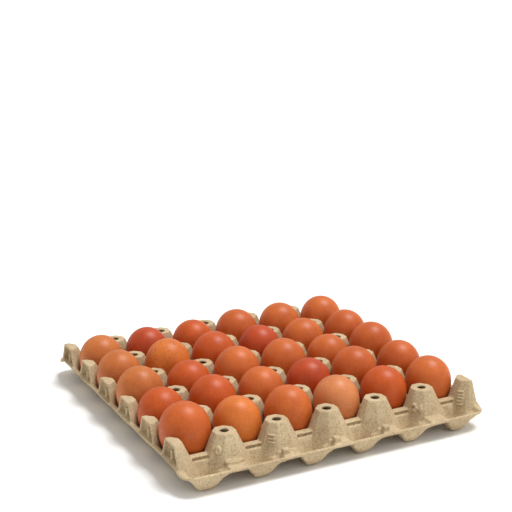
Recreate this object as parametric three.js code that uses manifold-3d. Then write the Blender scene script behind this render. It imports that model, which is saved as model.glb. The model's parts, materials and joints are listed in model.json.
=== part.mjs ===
// Moulded-pulp tray with thirty brown hen's eggs, in millimetres, +Z up.
// The origin is the centre of the tray's footprint, on the surface it stands on.
// X runs along the side with six eggs, Y along the side with five.
import * as THREE from 'three';
import { ConvexGeometry } from 'three/addons/geometries/ConvexGeometry.js';
import { mergeVertices } from 'three/addons/utils/BufferGeometryUtils.js';
import Module from 'manifold-3d';

const wasm = await Module();
wasm.setup();

// Lattice: cups and posts alternate like the fields of a chessboard
const pitch = 47;
const half = pitch / 2;
const eggColumns = 6;
const eggRows = 5;

// Outline
const outX = 142.8;
const outY = 149;
const cornerRadius = 14;
const cornerSteps = 3;

// Levels
const wall = 2;
const postTop = 36;
const saddleTop = 20.5;
const shelfTop = 17.3;
const rimTop = 16;
const below = -1;

// How far a cutting or joining shape runs past the face that it meets
const overrun = 10;
const overlap = 4;

// Posts: half-widths at the top, and how much each kind of face spreads per millimetre of drop
const postHalf = 8.8;
const axisRun = 0.43;
const diagRun = 0.31;
const outerDiagRun = 0.45;
const holeRadius = 3.4;
const holeSides = 8;

// Ridges between the posts; the cups' flanks along the short edges lean in further
const ridgeHalf = 2;
const ridgeRun = 0.378;
const sideRun = 0.55;

// Below the knee every flank runs out flatter, so that the cups have round feet
const knee = 6;
const kneeRun = 1.1;

// Half cups along the two long edges, and the feet of the posts between them
const shelfReach = 6.5;
const shelfRun = 0.42;
const footHalf = 7.5;
const footRun = 0.6;
const rimLip = 3;

// Outer wall of the half cups, as [distance inside the rim's edge, height]
const wallOutside = [[1.5, 14], [3.5, 5], [8, 0]];
const wallInside = [[5, 6.3], [8.9, 2], [10.5, 0]];

// Half posts along the two short edges
const cutX = 141.3;
const nicheDepth = 5;
const nicheFloor = saddleTop + 0.6;
const flangeEnd = 127;
const flangeSlope = 11;

// Small stacking lugs on some of the feet
const lug = { width: 6, depth: 5, height: 3.2, sunk: 1, offset: -4, y: 141 };

// Eggs
const eggRadius = 20.4;
const eggLength = 48.8;
const eggSpread = 0.03;
const eggStretch = 0.018;
const eggBluntness = 0.07;
const eggLean = 3.5;
const eggGap = 0.35;
const frontSizes = [1.045, 0.99, 1, 0.985, 0.995, 1.005];
const eggSides = 14;
const eggRings = 8;

// Shell shades by row, front row first: d deep, r red brown, b brown, o orange, t tan, p pink
const shadeRows = ['robpdo', 'dbordb', 'tbobob', 'ptrdbr', 'odbrbr'];
const shades = { d: 0x9c3f24, r: 0xb0512e, b: 0xb8613a, o: 0xc66e38, t: 0xc47d4c, p: 0xca8664 };

const columnsX = Array.from({ length: eggColumns + 1 }, (_, i) => (i - eggColumns / 2) * pitch);
const rowsY = Array.from({ length: eggRows + 1 }, (_, i) => (i - eggRows / 2) * pitch);
const lastX = columnsX[eggColumns];
const lastY = rowsY[eggRows];

// A closed geometry as a solid that can be joined and cut
function solidOf(geometry) {
  geometry.deleteAttribute('normal');
  geometry.deleteAttribute('uv');
  const merged = mergeVertices(geometry, 1e-4);
  const vertProperties = new Float32Array(merged.attributes.position.array);
  const triVerts = new Uint32Array(merged.index.array);
  return new wasm.Manifold(new wasm.Mesh({ numProp: 3, vertProperties, triVerts }));
}

function geometryOf(solid) {
  const mesh = solid.getMesh();
  const geometry = new THREE.BufferGeometry();
  geometry.setAttribute('position', new THREE.BufferAttribute(mesh.vertProperties, 3));
  geometry.setIndex(new THREE.BufferAttribute(mesh.triVerts, 1));
  geometry.computeVertexNormals();
  return geometry;
}

const join = (solids) => solids.reduce((all, one) => all.add(one));

// Convex solid through level outlines, each a list of [x, y] at height z
function loft(levels) {
  const points = levels.flatMap(({ z, outline }) => outline.map(([x, y]) => new THREE.Vector3(x, y, z)));
  return solidOf(new ConvexGeometry(points));
}

function extruded(section, length) {
  const shape = new THREE.Shape(section.map(([a, b]) => new THREE.Vector2(a, b)));
  return new THREE.ExtrudeGeometry(shape, { depth: length, steps: 1, bevelEnabled: false });
}

// Section in X and Z, swept along Y
function prismY(section, fromY, toY) {
  const geometry = extruded(section, toY - fromY);
  geometry.rotateX(Math.PI / 2);
  geometry.translate(0, toY, 0);
  return solidOf(geometry);
}

// Section in Y and Z, swept along X
function prismX(section, fromX, toX) {
  const geometry = extruded(section, toX - fromX);
  geometry.rotateX(Math.PI / 2);
  geometry.rotateZ(Math.PI / 2);
  geometry.translate(fromX, 0, 0);
  return solidOf(geometry);
}

function box(low, high) {
  const size = high.map((value, i) => value - low[i]);
  const geometry = new THREE.BoxGeometry(...size);
  geometry.translate(...low.map((value, i) => value + size[i] / 2));
  return solidOf(geometry);
}

// Octagon with its own spread on the -Y and the +Y side
function octagon(centre, axis, diagLow, diagHigh) {
  const low = diagLow * Math.SQRT2 - axis;
  const high = diagHigh * Math.SQRT2 - axis;
  const corners = [[axis, -low], [axis, high], [high, axis], [-high, axis], [-axis, high], [-axis, -low],
    [-low, -axis], [low, -axis]];
  return corners.map(([x, y]) => [centre[0] + x, centre[1] + y]);
}

// Post as an octagonal frustum; skin is how far it lies inside the top surface
function postBody(x, y, skin) {
  const runLow = y === -lastY ? outerDiagRun : diagRun;
  const runHigh = y === lastY ? outerDiagRun : diagRun;
  const top = postTop - skin;
  const level = (z) => {
    const drop = postTop - z;
    const inset = (run) => skin * Math.hypot(1, run);
    const axis = postHalf + axisRun * drop - inset(axisRun);
    const low = postHalf + runLow * drop - inset(runLow);
    const high = postHalf + runHigh * drop - inset(runHigh);
    return { z, outline: octagon([x, y], axis, low, high) };
  };
  return loft([level(top), level(skin > 0 ? below : 0)]);
}

// Flank from its top edge to the ground, as [out, z] points
function flank(halfTop, top, run, skin) {
  const bottom = skin > 0 ? below : 0;
  const inset = (slope) => skin * Math.hypot(1, slope);
  const steep = (z) => halfTop + run * (top - z) - inset(run);
  const turn = knee - (inset(kneeRun) - inset(run)) / (kneeRun - run);
  const foot = steep(turn) + kneeRun * (turn - bottom);
  return [[steep(top - skin), top - skin], [steep(turn), turn], [foot, bottom]];
}

// Ridge with a flat top and two like flanks, as [across, z] points
function ridgeSection(centre, halfTop, run, top, skin) {
  const right = flank(halfTop, top, run, skin);
  const left = right.slice().reverse().map(([out, z]) => [-out, z]);
  return [...left, ...right].map(([out, z]) => [centre + out, z]);
}

// Outer flank of the last ridge: a short upright step, a narrow shelf and a slope into the half cup
function shelfSection(side, skin) {
  const outer = flank(shelfReach, shelfTop, shelfRun, skin);
  const [, bottom] = outer[outer.length - 1];
  return [[0, bottom], [0, shelfTop - skin], ...outer].map(([a, b]) => [side * (lastY + a), b]);
}

const orient = (section) => (THREE.ShapeUtils.isClockWise(section.map(([a, b]) => ({ x: a, y: b }))) ?
  section.slice().reverse() : section);

// Everything below the tray's top surface, or, with a skin, everything below its underside
function moundSolid(skin) {
  const reachX = outX + (skin > 0 ? overrun : 0);
  const reachY = outY + (skin > 0 ? overrun : 0);
  const pieces = [];
  for (const x of columnsX) {
    const end = skin > 0 ? lastY : lastY + overlap;
    pieces.push(prismY(orient(ridgeSection(x, ridgeHalf, ridgeRun, saddleTop, skin)), -end, end));
  }
  for (const y of rowsY) {
    pieces.push(prismX(orient(ridgeSection(y, ridgeHalf, ridgeRun, saddleTop, skin)), -reachX, reachX));
  }
  for (const side of [-1, 1]) {
    pieces.push(prismX(orient(shelfSection(side, skin)), -reachX, reachX));
  }
  for (const x of columnsX.slice(1, -1)) {
    const foot = orient(ridgeSection(x, footHalf, footRun, rimTop, skin));
    pieces.push(prismY(foot, -reachY, -lastY));
    pieces.push(prismY(foot, lastY, reachY));
    for (const y of rowsY) {
      pieces.push(postBody(x, y, skin));
    }
  }
  return join(pieces);
}

// Half posts: the outer part is cut off, and a niche follows the post's own outline
function halfPosts(skin) {
  const limit = skin > 0 ? cutX - nicheDepth - wall : cutX;
  const posts = [-lastX, lastX].flatMap((x) => rowsY.map((y) => postBody(x, y, skin)));
  const keep = box([-limit, -outY, skin > 0 ? below : 0], [limit, outY, postTop]);
  return join(posts).intersect(keep);
}

function niches() {
  const posts = [-lastX, lastX].flatMap((x) => rowsY.map((y) => postBody(x, y, wall)));
  const inner = cutX - nicheDepth;
  const left = box([-outX, -outY, nicheFloor], [-inner, outY, postTop]);
  const right = box([inner, -outY, nicheFloor], [outX, outY, postTop]);
  return join(posts).intersect(left.add(right));
}

// Edge flange along the two short sides, running down to the rim at the corners
function flangeProfile(skin) {
  const bottom = skin > 0 ? below : 0;
  const end = outY + skin;
  const lowEnd = flangeEnd + flangeSlope;
  return [[-end, bottom], [end, bottom], [end, rimTop - skin], [lowEnd, rimTop - skin],
    [flangeEnd, saddleTop - skin], [-flangeEnd, saddleTop - skin], [-lowEnd, rimTop - skin], [-end, rimTop - skin]];
}

// Short side from the slope of the outer cups outwards, or, with a skin, the space under its flange
function sideEdge(side, skin) {
  const far = skin > 0 ? outX + overrun : outX;
  const inner = flank(ridgeHalf, saddleTop, sideRun, skin).map(([out, z]) => [lastX - out, z]);
  const [, bottom] = inner[inner.length - 1];
  const section = [...inner, [far, bottom], [far, saddleTop - skin]];
  const sweep = prismY(orient(section.map(([a, b]) => [side * a, b])), -outY - skin, outY + skin);
  return sweep.intersect(prismX(flangeProfile(skin), -far, far));
}

// Outer wall of the half cups, with the thin rim on top of it
function outerWall(side) {
  const inside = [[rimLip, rimTop], ...wallInside, [-overlap, 0], [-overlap, rimTop]];
  return prismX(orient(inside.map(([a, b]) => [side * (outY - a), b])), -outX, outX);
}

// Rounded outline, as [x, y] points
function outline(x, y, radius) {
  const points = [];
  for (const [sx, sy, start] of [[1, 1, 0], [-1, 1, 1], [-1, -1, 2], [1, -1, 3]]) {
    for (let i = 0; i <= cornerSteps; i += 1) {
      const angle = (start + i / cornerSteps) * Math.PI / 2;
      points.push([sx * (x - radius) + radius * Math.cos(angle), sy * (y - radius) + radius * Math.sin(angle)]);
    }
  }
  return points;
}

// Everything inside the rim's edge, and below it inside the bulging outer walls
function outerLimit() {
  const rim = outline(outX, outY, cornerRadius);
  const bulge = wallOutside.map(([inside, z]) => ({ z, outline: outline(outX, outY - inside, cornerRadius) }));
  return loft([{ z: postTop, outline: rim }, { z: rimTop - wall, outline: rim }]).add(loft(bulge));
}

function lugs() {
  const low = rimTop - lug.sunk;
  const high = rimTop + lug.height;
  const middle = columnsX.slice(2, -2);
  return middle.flatMap((x) => [-1, 1].map((side) => {
    const cx = x - side * lug.offset;
    const cy = side * lug.y;
    return box([cx - lug.width / 2, cy - lug.depth / 2, low], [cx + lug.width / 2, cy + lug.depth / 2, high]);
  }));
}

function postHoles() {
  return columnsX.slice(1, -1).flatMap((x) => rowsY.map((y) => {
    const geometry = new THREE.CylinderGeometry(holeRadius, holeRadius, 4 * wall, holeSides);
    geometry.rotateX(Math.PI / 2);
    geometry.translate(x, y, postTop - wall / 2);
    return solidOf(geometry);
  }));
}

function makeTray() {
  const floor = box([-outX, -outY, 0], [outX, outY, wall]);
  const edges = [-1, 1].flatMap((side) => [sideEdge(side, 0), outerWall(side)]);
  const mound = join([floor, moundSolid(0), halfPosts(0), ...edges]).intersect(outerLimit());
  const hollow = join([moundSolid(wall), halfPosts(wall), sideEdge(-1, wall), sideEdge(1, wall), niches()]);
  const tray = mound.add(join(lugs())).subtract(hollow).subtract(join(postHoles()));
  const material = new THREE.MeshStandardMaterial({ color: 0xbfaa84, roughness: 0.92, metalness: 0 });
  const mesh = new THREE.Mesh(geometryOf(tray), material);
  mesh.name = 'tray';
  return mesh;
}

// Repeatable draws between -1 and 1
function draws(seed) {
  let state = seed;
  return () => {
    state = (state * 16807) % 2147483647;
    return (state / 2147483647) * 2 - 1;
  };
}

function eggGeometry(radius, length) {
  const profile = Array.from({ length: eggRings }, (_, i) => {
    const turn = Math.PI * (1 - i / (eggRings - 1));
    const across = radius * Math.sin(turn) * (1 + eggBluntness * Math.cos(turn));
    const onAxis = i === 0 || i === eggRings - 1;
    return new THREE.Vector2(onAxis ? 0 : across, length / 2 * Math.cos(turn));
  });
  const geometry = new THREE.LatheGeometry(profile, eggSides);
  geometry.rotateX(Math.PI / 2);
  return geometry;
}

// How far an egg must be lifted so that it clears the cup's floor, the posts and the ridges
function seatHeight(geometry) {
  const position = geometry.attributes.position;
  const directions = Array.from({ length: 8 }, (_, i) => i * Math.PI / 4);
  const toPost = half * Math.SQRT2;
  let lift = 0;
  for (let i = 0; i < position.count; i += 1) {
    const [x, y, z] = [position.getX(i), position.getY(i), position.getZ(i)];
    lift = Math.max(lift, wall + eggGap - z);
    directions.forEach((angle, index) => {
      const reach = x * Math.cos(angle) + y * Math.sin(angle);
      const diagonal = index % 2 === 1;
      const run = diagonal ? diagRun : ridgeRun;
      const top = diagonal ? postTop : saddleTop;
      const free = diagonal ? toPost - postHalf : half - ridgeHalf;
      const need = top + (reach + eggGap * Math.hypot(1, run) - free) / run - z;
      lift = Math.max(lift, need + z > top ? 0 : need);
    });
  }
  return lift;
}

function makeEggs() {
  const draw = draws(4711);
  const eggs = [];
  shadeRows.forEach((row, j) => {
    [...row].forEach((shade, i) => {
      const drawn = 1 + eggSpread * draw();
      const size = j === 0 ? frontSizes[i] : drawn;
      const geometry = eggGeometry(eggRadius * size, eggLength * size * (1 + eggStretch * draw()));
      geometry.rotateX(THREE.MathUtils.degToRad(eggLean * draw()));
      geometry.rotateY(THREE.MathUtils.degToRad(eggLean * draw()));
      const material = new THREE.MeshStandardMaterial({ color: shades[shade], roughness: 0.45, metalness: 0 });
      const egg = new THREE.Mesh(geometry, material);
      egg.name = `egg_${j + 1}_${i + 1}`;
      egg.position.set(columnsX[i] + half, rowsY[j] + half, seatHeight(geometry));
      eggs.push(egg);
    });
  });
  return eggs;
}

const carton = new THREE.Group();
carton.add(makeTray(), ...makeEggs());

export default carton;
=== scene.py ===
import json
import math
import random
import time
import bpy
from mathutils import Matrix, Vector

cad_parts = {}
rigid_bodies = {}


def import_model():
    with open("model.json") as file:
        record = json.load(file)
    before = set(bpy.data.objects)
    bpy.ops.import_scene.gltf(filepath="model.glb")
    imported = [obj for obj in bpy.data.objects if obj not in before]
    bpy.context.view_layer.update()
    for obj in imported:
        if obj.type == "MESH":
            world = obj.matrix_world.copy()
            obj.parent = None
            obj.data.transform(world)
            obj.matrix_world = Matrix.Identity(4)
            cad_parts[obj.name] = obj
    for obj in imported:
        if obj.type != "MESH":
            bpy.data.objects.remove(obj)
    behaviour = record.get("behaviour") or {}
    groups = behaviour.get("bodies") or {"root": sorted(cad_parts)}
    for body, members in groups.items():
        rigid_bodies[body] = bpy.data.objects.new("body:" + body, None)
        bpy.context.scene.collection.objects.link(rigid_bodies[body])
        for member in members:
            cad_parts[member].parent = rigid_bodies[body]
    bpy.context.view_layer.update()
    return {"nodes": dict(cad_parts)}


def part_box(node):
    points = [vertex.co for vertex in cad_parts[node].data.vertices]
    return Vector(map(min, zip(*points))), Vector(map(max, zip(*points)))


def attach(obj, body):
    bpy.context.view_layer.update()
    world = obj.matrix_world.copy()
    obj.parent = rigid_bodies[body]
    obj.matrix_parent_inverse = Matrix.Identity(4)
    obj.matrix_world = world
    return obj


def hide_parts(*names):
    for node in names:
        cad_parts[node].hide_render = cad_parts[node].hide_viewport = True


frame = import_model()
started = time.time()


def report(words):
    print(f"{words} ({time.time() - started:.1f} s)")


# Camera: a long lens, a little above the tray and in front of its left corner
cameraView = {
    "target": (0.1657, 0.3278, 0.025),
    "azimuth": -27.36,
    "elevation": 16.71,
    "roll": -0.27,
    "distance": 1.5074,
    "lens": 89.88,
    "clipEnd": 30,
}


def makeCamera():
    view = cameraView
    azimuth, elevation, roll = (math.radians(view[name]) for name in ("azimuth", "elevation", "roll"))
    back = Vector((math.sin(azimuth) * math.cos(elevation), -math.cos(azimuth) * math.cos(elevation),
                   math.sin(elevation)))
    right = Vector((0, 0, 1)).cross(back).normalized()
    turn = Matrix((right, back.cross(right), back)).transposed() @ Matrix.Rotation(roll, 3, "Z")
    bpy.ops.object.camera_add(location=Vector(view["target"]) + back * view["distance"],
                              rotation=turn.to_euler())
    camera = bpy.context.object
    camera.data.lens = view["lens"]
    camera.data.clip_end = view["clipEnd"]
    bpy.context.scene.camera = camera


def deselectAll():
    for thing in bpy.context.view_layer.objects:
        thing.select_set(False)


def makeActive(thing):
    deselectAll()
    thing.select_set(True)
    bpy.context.view_layer.objects.active = thing


def applyModifiers(thing):
    makeActive(thing)
    for modifier in list(thing.modifiers):
        bpy.ops.object.modifier_apply(modifier=modifier.name)


# sRGB hex to the linear values that a shader takes
def linear(hexColour):
    parts = [int(hexColour[i:i + 2], 16) / 255 for i in (1, 3, 5)]
    return tuple(p / 12.92 if p <= 0.04045 else ((p + 0.055) / 1.055) ** 2.4 for p in parts) + (1.0,)


# Each input is a value, or a socket to link from
def setInputs(tree, node, inputs):
    for socket, value in inputs.items():
        if isinstance(value, bpy.types.NodeSocket):
            tree.links.new(value, node.inputs[socket])
        else:
            node.inputs[socket].default_value = value


# One node with its settings and inputs; a colour ramp takes stops too, as places and hex colours
def addNode(tree, kind, settings=None, inputs=None, stops=()):
    node = tree.nodes.new(kind)
    for name, value in (settings or {}).items():
        setattr(node, name, value)
    setInputs(tree, node, inputs or {})
    for i, (place, hexColour) in enumerate(stops):
        elements = node.color_ramp.elements
        element = elements[i] if i < 2 else elements.new(place)
        element.position = place
        element.color = linear(hexColour)
    return node


def newMaterial(name):
    material = bpy.data.materials.new(name)
    material.use_nodes = True
    tree = material.node_tree
    tree.nodes.clear()
    shader = addNode(tree, "ShaderNodeBsdfPrincipled")
    addNode(tree, "ShaderNodeOutputMaterial", inputs={"Surface": shader.outputs["BSDF"]})
    return material, tree, shader


# Patterns are given by their size in millimetres
perMillimetre = 1000
# A colour mix takes its amount at input 0 and its colours at 6 and 7, and gives its colour at output 2
multiply = {"data_type": "RGBA", "blend_type": "MULTIPLY"}

# Moulded pulp: felted recycled fibre, rough and matt, with specks of darker and lighter stock
pulpLook = {
    "cloudSize": 22,
    "cloudColours": ((0.3, "#C1AB8B"), (0.7, "#D6C3A2")),
    "fibreSize": 1.5,
    "fibreColours": ((0.27, "#8A7A5E"), (0.5, "#F4F0E6"), (0.8, "#FFFFFF")),
    "fibreAmount": 0.8,
    "speckSize": 1.8,
    "speckColours": ((0.27, "#6E5A3E"), (0.33, "#FFFFFF")),
    "speckAmount": 0.27,
    "roughness": 0.93,
    "ior": 1.45,
    "specular": 0.3,
    "relief": 0.0006,
    "reliefStrength": 0.6,
}


def pulpMaterial():
    look = pulpLook
    material, tree, shader = newMaterial("mouldedPulp")
    place = addNode(tree, "ShaderNodeTexCoord").outputs["Object"]
    cloudy = addNode(tree, "ShaderNodeTexNoise", inputs={
        "Vector": place, "Scale": perMillimetre / look["cloudSize"], "Detail": 3.0, "Roughness": 0.55})
    fibre = addNode(tree, "ShaderNodeTexNoise", inputs={
        "Vector": place, "Scale": perMillimetre / look["fibreSize"], "Detail": 5.0, "Roughness": 0.7})
    speck = addNode(tree, "ShaderNodeTexNoise", inputs={
        "Vector": place, "Scale": perMillimetre / look["speckSize"], "Detail": 1.0, "Roughness": 0.5})
    base = addNode(tree, "ShaderNodeValToRGB", inputs={"Fac": cloudy.outputs["Fac"]},
                   stops=look["cloudColours"])
    grain = addNode(tree, "ShaderNodeValToRGB", inputs={"Fac": fibre.outputs["Fac"]},
                    stops=look["fibreColours"])
    dark = addNode(tree, "ShaderNodeValToRGB", inputs={"Fac": speck.outputs["Fac"]},
                   stops=look["speckColours"])
    grained = addNode(tree, "ShaderNodeMix", multiply, {
        0: look["fibreAmount"], 6: base.outputs["Color"], 7: grain.outputs["Color"]})
    specked = addNode(tree, "ShaderNodeMix", multiply, {
        0: look["speckAmount"], 6: grained.outputs[2], 7: dark.outputs["Color"]})
    bump = addNode(tree, "ShaderNodeBump", inputs={
        "Height": fibre.outputs["Fac"], "Strength": look["reliefStrength"], "Distance": look["relief"]})
    setInputs(tree, shader, {
        "Base Color": specked.outputs[2], "Roughness": look["roughness"], "IOR": look["ior"],
        "Specular IOR Level": look["specular"], "Normal": bump.outputs["Normal"]})
    return material


# Brown eggshell: calcite with a thin satin cuticle, mottled, with fine pores
# Its pores are drawn coarser than real ones, so that they show
shellLook = {
    "blotchSize": 16,
    "blotchColours": ((0.32, "#EBE2DC"), (0.62, "#FFFFFF")),
    "poreSize": 0.8,
    "poreColours": ((0.3, "#E9DFD8"), (0.6, "#FFFFFF")),
    "freckleSpacing": 2.4,
    "freckleColours": ((0.13, "#7A3B22"), (0.22, "#FFFFFF")),
    "roughness": 0.42,
    "ior": 1.5,
    "specular": 0.3,
    "relief": 0.00012,
    "reliefStrength": 0.25,
}


def shellMaterial():
    look = shellLook
    material, tree, shader = newMaterial("brownEggshell")
    place = addNode(tree, "ShaderNodeTexCoord").outputs["Object"]
    shade = addNode(tree, "ShaderNodeAttribute", {"attribute_name": "shellShade"})
    freckled = addNode(tree, "ShaderNodeAttribute", {"attribute_name": "shellFreckle"})
    blotch = addNode(tree, "ShaderNodeTexNoise", inputs={
        "Vector": place, "Scale": perMillimetre / look["blotchSize"], "Detail": 4.0, "Roughness": 0.6})
    pore = addNode(tree, "ShaderNodeTexNoise", inputs={
        "Vector": place, "Scale": perMillimetre / look["poreSize"], "Detail": 2.0, "Roughness": 0.6})
    spot = addNode(tree, "ShaderNodeTexVoronoi", {"feature": "F1"}, {
        "Vector": place, "Scale": perMillimetre / look["freckleSpacing"], "Randomness": 1.0})
    colour = shade.outputs["Color"]
    layers = ((1.0, blotch.outputs["Fac"], look["blotchColours"]),
              (1.0, pore.outputs["Fac"], look["poreColours"]),
              (freckled.outputs["Fac"], spot.outputs["Distance"], look["freckleColours"]))
    for amount, pattern, colours in layers:
        layer = addNode(tree, "ShaderNodeValToRGB", inputs={"Fac": pattern}, stops=colours)
        mixed = addNode(tree, "ShaderNodeMix", multiply, {0: amount, 6: colour, 7: layer.outputs["Color"]})
        colour = mixed.outputs[2]
    bump = addNode(tree, "ShaderNodeBump", inputs={
        "Height": pore.outputs["Fac"], "Strength": look["reliefStrength"], "Distance": look["relief"]})
    setInputs(tree, shader, {
        "Base Color": colour, "Roughness": look["roughness"], "IOR": look["ior"],
        "Specular IOR Level": look["specular"], "Normal": bump.outputs["Normal"]})
    return material


# Eggs, front row first: d deep, r red brown, b brown, o orange, g golden, t tan, p pink
# Freckled ones are given by row and column, with how much they are freckled
eggLook = {
    "segments": 56,
    "rings": 36,
    "bluntness": 0.07,
    "lean": 3.5,
    "wider": 1.015,
    "seed": 7,
    "shadeRows": ("bgopro", "rrodbb", "trooob", "tgrdob", "tdrboo"),
    "shades": {"d": "#C04B1E", "r": "#CB5A1E", "b": "#CC6429", "o": "#D26C2F",
               "g": "#DC7A33", "t": "#CC7539", "p": "#DA8853"},
    "freckled": {(2, 1): 0.5, (4, 2): 0.7, (3, 1): 0.2},
}


# A ball whose rings are widened towards its top, which makes the blunt end
def makeEggForm():
    look = eggLook
    deselectAll()
    bpy.ops.mesh.primitive_uv_sphere_add(segments=look["segments"], ring_count=look["rings"], radius=1)
    form = bpy.context.object
    levels = sorted({round(vertex.co.z, 5) for vertex in form.data.vertices})
    for level in levels[1:-1]:
        bpy.ops.object.mode_set(mode="OBJECT")
        for vertex in form.data.vertices:
            vertex.select = abs(vertex.co.z - level) < 1e-4
        for edge in form.data.edges:
            edge.select = False
        for face in form.data.polygons:
            face.select = False
        bpy.ops.object.mode_set(mode="EDIT")
        bpy.ops.mesh.select_mode(type="VERT")
        wider = 1 + look["bluntness"] * level
        bpy.ops.transform.resize(value=(wider, wider, 1), center_override=(0, 0, 0))
    bpy.ops.object.mode_set(mode="OBJECT")
    bpy.ops.object.shade_smooth()
    return form


def makeEggs(material):
    look = eggLook
    form = makeEggForm()
    draw = random.Random(look["seed"])
    for j, row in enumerate(look["shadeRows"]):
        for i, letter in enumerate(row):
            node = f"egg_{j + 1}_{i + 1}"
            low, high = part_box(node)
            middle = (low + high) / 2
            radius = (high.x - low.x + high.y - low.y) / 4 * look["wider"]
            egg = form.copy()
            egg.data = form.data.copy()
            bpy.context.collection.objects.link(egg)
            egg.name = f"brownEgg_{j + 1}_{i + 1}"
            lean = [math.radians(look["lean"]) * draw.uniform(-1, 1) for _ in range(2)]
            matrix = (Matrix.Translation(middle) @ Matrix.Rotation(lean[0], 4, "X")
                      @ Matrix.Rotation(lean[1], 4, "Y") @ Matrix.Rotation(draw.uniform(0, 6.28), 4, "Z")
                      @ Matrix.Diagonal((radius, radius, (high.z - low.z) / 2, 1)))
            egg.data.transform(matrix)
            count = len(egg.data.vertices)
            shade = egg.data.attributes.new("shellShade", "FLOAT_COLOR", "POINT")
            shade.data.foreach_set("color", list(linear(look["shades"][letter])) * count)
            freckle = egg.data.attributes.new("shellFreckle", "FLOAT", "POINT")
            freckle.data.foreach_set("value", [look["freckled"].get((j + 1, i + 1), 0.0)] * count)
            egg.data.materials.clear()
            egg.data.materials.append(material)
            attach(egg, "root")
            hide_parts(node)
    bpy.data.objects.remove(form)


# The mould that the tray comes from: its lattice of posts, their slope and the main heights
mould = {
    "pitch": 0.047,
    "cupColumns": 6,
    "postRows": 6,
    "middleColumn": 3,
    "frontRow": -0.1175,
    "postTop": 0.036,
    "postHalf": 0.0088,
    "postRun": 0.45,
    "cut": 0.1413,
    "nicheFloor": 0.0211,
    "nicheDepth": 0.005,
    "rimTop": 0.016,
    "saddleTop": 0.0205,
}

# How the pulp tray differs from its plain solid: added details, softened edges and felted waves
trayLook = {
    "voxel": 0.00065,
    "softening": 1,
    "triangles": 190000,
    "cupHeight": 0.013,
    "cupSoftening": 9,
    "bulge": {"start": 0.131, "fade": 0.003, "shift": 0.003, "flat": 0.003, "reach": 0.007,
              "lift": 0.003, "mostLift": 0.008, "narrowing": 0.12},
    "waviness": 0.0007,
    "waveLength": 0.02,
    "rimWidth": 0.004,
    "rimWaviness": 0.0016,
    "rimWaveLength": 0.011,
    "hole": {"reach": 0.0062, "fade": 0.002, "depth": 0.004, "widening": 0.0006},
    "rib": {"width": 0.0032, "reach": 0.0036, "height": 0.0075, "sunk": 0.0005},
    "lug": {"size": (0.0056, 0.005, 0.0056), "columns": (2, 3, 4), "y": 0.141, "shift": 0.004, "sunk": 0.001},
    "ledge": (0.016, 0.0046, 0.0013),
    "footStep": {"column": 1, "size": (0.0085, 0.0031), "y": -0.1367, "height": 0.0022, "sides": 48},
}

# Raised marks on the left faces of the front posts, with their height and their shift along the face
postMarks = (
    {"column": 1, "height": 0.0240, "shift": 0.0, "figures": "0"},
    {"column": 2, "height": 0.0243, "shift": 0.0, "bars": 3},
    {"column": 5, "height": 0.0220, "shift": -0.0005, "figures": "24"},
    {"column": 6, "height": 0.0220, "shift": -0.0025, "bars": 5},
)
markLook = {
    "proud": 0.0018,
    "barLength": 0.0058,
    "barWidth": 0.0013,
    "barStep": 0.0028,
    "figureSize": 0.009,
    "figureBoldness": 0.0003,
}


def postX(column):
    return (column - mould["middleColumn"]) * mould["pitch"]


def addBox(low, high):
    bpy.ops.mesh.primitive_cube_add(size=1)
    piece = bpy.context.object
    size = [b - a for a, b in zip(low, high)]
    middle = [(a + b) / 2 for a, b in zip(low, high)]
    piece.data.transform(Matrix.Translation(middle) @ Matrix.Diagonal((*size, 1)))
    return piece


# Frame of a mark: X along the post's left face, Y up the face, Z out of it
def markPlace(mark):
    out = Vector((-1, -1, 0)).normalized()
    along = Vector((1, -1, 0)).normalized()
    up = (Vector((0, 0, 1)) - out * mould["postRun"]).normalized()
    reach = mould["postHalf"] + mould["postRun"] * (mould["postTop"] - mark["height"])
    post = Vector((postX(mark["column"]), mould["frontRow"], mark["height"]))
    place = Matrix((along, up, along.cross(up))).transposed().to_4x4()
    place.translation = post + out * reach + along * mark["shift"]
    return place


def makeMarks():
    look = markLook
    pieces = []
    for mark in postMarks:
        if "figures" in mark:
            bpy.ops.object.text_add()
            figure = bpy.context.object
            figure.data.body = mark["figures"]
            figure.data.size = look["figureSize"]
            figure.data.align_x = "CENTER"
            figure.data.align_y = "CENTER"
            figure.data.extrude = look["proud"]
            figure.data.offset = look["figureBoldness"]
            makeActive(figure)
            bpy.ops.object.convert(target="MESH")
            made = [bpy.context.object]
        else:
            made = []
            for i in range(mark["bars"]):
                level = (i - (mark["bars"] - 1) / 2) * look["barStep"]
                made.append(addBox((-look["barLength"] / 2, level - look["barWidth"] / 2, -look["proud"]),
                                   (look["barLength"] / 2, level + look["barWidth"] / 2, look["proud"])))
        for piece in made:
            piece.data.transform(markPlace(mark))
        pieces += made
    return pieces


# A short rib stands in the niche of each half post
def makeNicheRibs():
    look = trayLook["rib"]
    pieces = []
    back = mould["cut"] - mould["nicheDepth"]
    for side in (-1, 1):
        for row in range(mould["postRows"]):
            y = mould["frontRow"] + row * mould["pitch"]
            xs = sorted((side * (back - look["sunk"]), side * (back + look["reach"])))
            pieces.append(addBox((xs[0], y - look["width"] / 2, mould["nicheFloor"] - look["sunk"]),
                                 (xs[1], y + look["width"] / 2, mould["nicheFloor"] + look["height"])))
    return pieces


def makeLugs():
    look = trayLook["lug"]
    pieces = []
    for side in (-1, 1):
        for column in look["columns"]:
            x = postX(column) + side * look["shift"]
            y = side * look["y"]
            wide, deep, high = (size / 2 for size in look["size"])
            base = mould["rimTop"] - look["sunk"]
            pieces.append(addBox((x - wide, y - deep, base), (x + wide, y + deep, base + 2 * high)))
    return pieces


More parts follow.
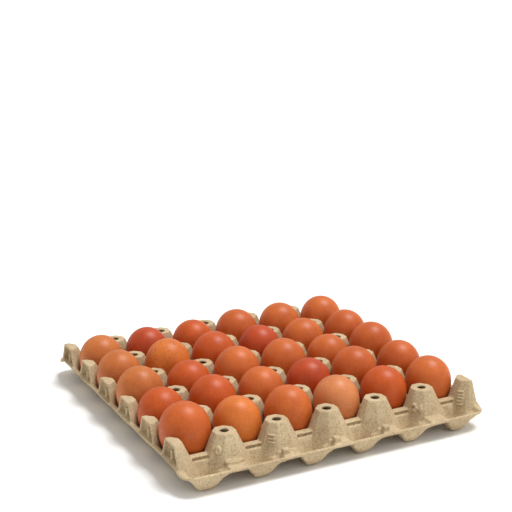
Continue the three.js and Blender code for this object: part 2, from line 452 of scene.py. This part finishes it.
# Thin ledges between the outer posts, above the half cups
def makeLedges():
    pieces = []
    wide, reach, thick = trayLook["ledge"]
    for side in (-1, 1):
        for column in range(mould["cupColumns"]):
            x = postX(column + 0.5)
            ys = sorted((-side * mould["frontRow"], side * (reach - mould["frontRow"])))
            pieces.append(addBox((x - wide / 2, ys[0], mould["saddleTop"] - thick),
                                 (x + wide / 2, ys[1], mould["saddleTop"])))
    return pieces


# An arched step at the foot of one post
def makeFootStep():
    step = trayLook["footStep"]
    bpy.ops.mesh.primitive_cylinder_add(vertices=step["sides"], radius=1, depth=step["height"])
    arch = bpy.context.object
    middle = (postX(step["column"]), step["y"], mould["rimTop"] + step["height"] / 2)
    arch.data.transform(Matrix.Translation(middle) @ Matrix.Diagonal((*step["size"], 1, 1)))
    return [arch]


# Vertex group of the points for which inside(place) holds; an empty name stands for all of them
def groupWhere(thing, inside):
    if inside is None:
        return ""
    group = thing.vertex_groups.new(name=f"part{len(thing.vertex_groups)}")
    group.add([vertex.index for vertex in thing.data.vertices if inside(vertex.co)], 1.0, "REPLACE")
    return group.name


def soften(thing, iterations, inside=None):
    modifier = thing.modifiers.new("soften", "SMOOTH")
    modifier.factor = 0.5
    modifier.iterations = iterations
    modifier.vertex_group = groupWhere(thing, inside)
    applyModifiers(thing)


def wave(thing, strength, length, inside=None, direction="NORMAL"):
    clouds = bpy.data.textures.new("feltWaves", "CLOUDS")
    clouds.noise_scale = length
    modifier = thing.modifiers.new("waves", "DISPLACE")
    modifier.texture = clouds
    modifier.strength = strength
    modifier.direction = direction
    modifier.vertex_group = groupWhere(thing, inside)
    applyModifiers(thing)


# The half cups hang below the rim as rounded bulges, a little narrower on their right side
def roundBulges(tray):
    look = trayLook["bulge"]
    top = trayLook["cupHeight"]
    pitch = mould["pitch"]
    columns = mould["middleColumn"]
    for vertex in tray.data.vertices:
        place = vertex.co
        if place.z > top or abs(place.y) < look["start"]:
            continue
        middle = (min(max(math.floor(place.x / pitch), -columns), columns - 1) + 0.5) * pitch
        aside = place.x - middle
        start = min((abs(place.y) - look["start"]) / look["fade"], 1)
        below = min((top - place.z) / look["fade"], 1)
        side = -math.copysign(1, place.y)
        fromLowest = abs(aside * side + look["shift"])
        lift = look["lift"] * (max(fromLowest - look["flat"], 0) / look["reach"]) ** 2
        if aside * side > 0:
            place.x -= aside * look["narrowing"] * start * below
        place.z += min(lift, look["mostLift"]) * start * (1 - place.z / top)


# The holes in the whole posts' tops open out to a rounded brim
def widenHoles(tray):
    look = trayLook["hole"]
    pitch = mould["pitch"]
    for vertex in tray.data.vertices:
        place = vertex.co
        column = round(place.x / pitch)
        if abs(column) >= mould["middleColumn"] or place.z < mould["postTop"] - look["depth"]:
            continue
        row = round((place.y - mould["frontRow"]) / pitch)
        outward = Vector((place.x - column * pitch, place.y - mould["frontRow"] - row * pitch, 0))
        push = min(max((look["reach"] - outward.length) / look["fade"], 0), 1)
        vertex.co = place + outward.normalized() * push * look["widening"]


def makeTray(material):
    look = trayLook
    tray = bpy.data.objects.new("pulpTray", frame["nodes"]["tray"].data.copy())
    bpy.context.collection.objects.link(tray)
    makeActive(tray)
    bpy.ops.object.mode_set(mode="EDIT")
    bpy.ops.mesh.select_all(action="SELECT")
    bpy.ops.mesh.remove_doubles(threshold=0.00002)
    bpy.ops.object.mode_set(mode="OBJECT")
    extras = makeMarks() + makeNicheRibs() + makeLugs() + makeLedges() + makeFootStep()
    deselectAll()
    for piece in extras:
        piece.select_set(True)
    tray.select_set(True)
    bpy.context.view_layer.objects.active = tray
    bpy.ops.object.join()
    remesh = tray.modifiers.new("felt", "REMESH")
    remesh.mode = "VOXEL"
    remesh.voxel_size = look["voxel"]
    remesh.use_smooth_shade = True
    applyModifiers(tray)
    report(f"tray remeshed, {len(tray.data.polygons)} faces")
    soften(tray, look["softening"])
    thin = tray.modifiers.new("thin", "DECIMATE")
    thin.ratio = look["triangles"] / (2 * len(tray.data.polygons))
    applyModifiers(tray)
    report(f"tray thinned, {len(tray.data.polygons)} faces")
    soften(tray, look["cupSoftening"], lambda place: place.z < look["cupHeight"])
    roundBulges(tray)
    wave(tray, look["waviness"], look["waveLength"])
    low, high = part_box("tray")
    innerX = high.x - look["rimWidth"]
    innerY = high.y - look["rimWidth"]
    wave(tray, look["rimWaviness"], look["rimWaveLength"], lambda place: place.z > look["cupHeight"]
         and (abs(place.x) > innerX or abs(place.y) > innerY), "Z")
    widenHoles(tray)
    report("tray softened")
    # Nothing goes past the box of the tray's solid
    for vertex in tray.data.vertices:
        for axis in range(3):
            vertex.co[axis] = min(max(vertex.co[axis], low[axis]), high[axis])
    makeActive(tray)
    bpy.ops.object.shade_smooth()
    tray.data.materials.clear()
    tray.data.materials.append(material)
    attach(tray, "root")
    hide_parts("tray")


# Floor and light: a broad soft key high up on the right, and a small fill from the front
studioLook = {
    "floorRadius": 9,
    "floorColour": "#FAF9F7",
    "floorRoughness": 0.8,
    "surround": 0.58,
    "keyFrom": (0.35, 0.02, 0.93),
    "keyDistance": 2.5,
    "keyEnergy": 2.5,
    "keyAngle": 24,
    "fillFrom": (0.9, -1.5, 1.0),
    "fillSize": 1.5,
    "fillEnergy": 3.5,
}


def makeStudio():
    look = studioLook
    deselectAll()
    bpy.ops.mesh.primitive_circle_add(vertices=96, radius=look["floorRadius"], fill_type="NGON")
    floor = bpy.context.object
    floor.name = "studioFloor"
    material, tree, shader = newMaterial("paleFloor")
    setInputs(tree, shader, {"Base Color": linear(look["floorColour"]), "Roughness": look["floorRoughness"]})
    floor.data.materials.append(material)
    world = bpy.data.worlds.new("studioWorld")
    bpy.context.scene.world = world
    world.use_nodes = True
    background = world.node_tree.nodes["Background"]
    setInputs(world.node_tree, background, {"Color": (1, 1, 1, 1), "Strength": look["surround"]})
    toKey = Vector(look["keyFrom"]).normalized()
    bpy.ops.object.light_add(type="SUN", location=toKey * look["keyDistance"])
    key = bpy.context.object
    key.name = "keyLight"
    key.data.energy = look["keyEnergy"]
    key.data.angle = math.radians(look["keyAngle"])
    key.rotation_euler = toKey.to_track_quat("Z", "Y").to_euler()
    bpy.ops.object.light_add(type="AREA", location=look["fillFrom"])
    fill = bpy.context.object
    fill.name = "fillLight"
    fill.data.size = look["fillSize"]
    fill.data.energy = look["fillEnergy"]
    fill.rotation_euler = fill.location.to_track_quat("Z", "Y").to_euler()
    bpy.context.scene.view_settings.view_transform = "Standard"


makeCamera()
makeStudio()
report("studio ready")
makeEggs(shellMaterial())
report("eggs ready")
makeTray(pulpMaterial())
report("tray ready")
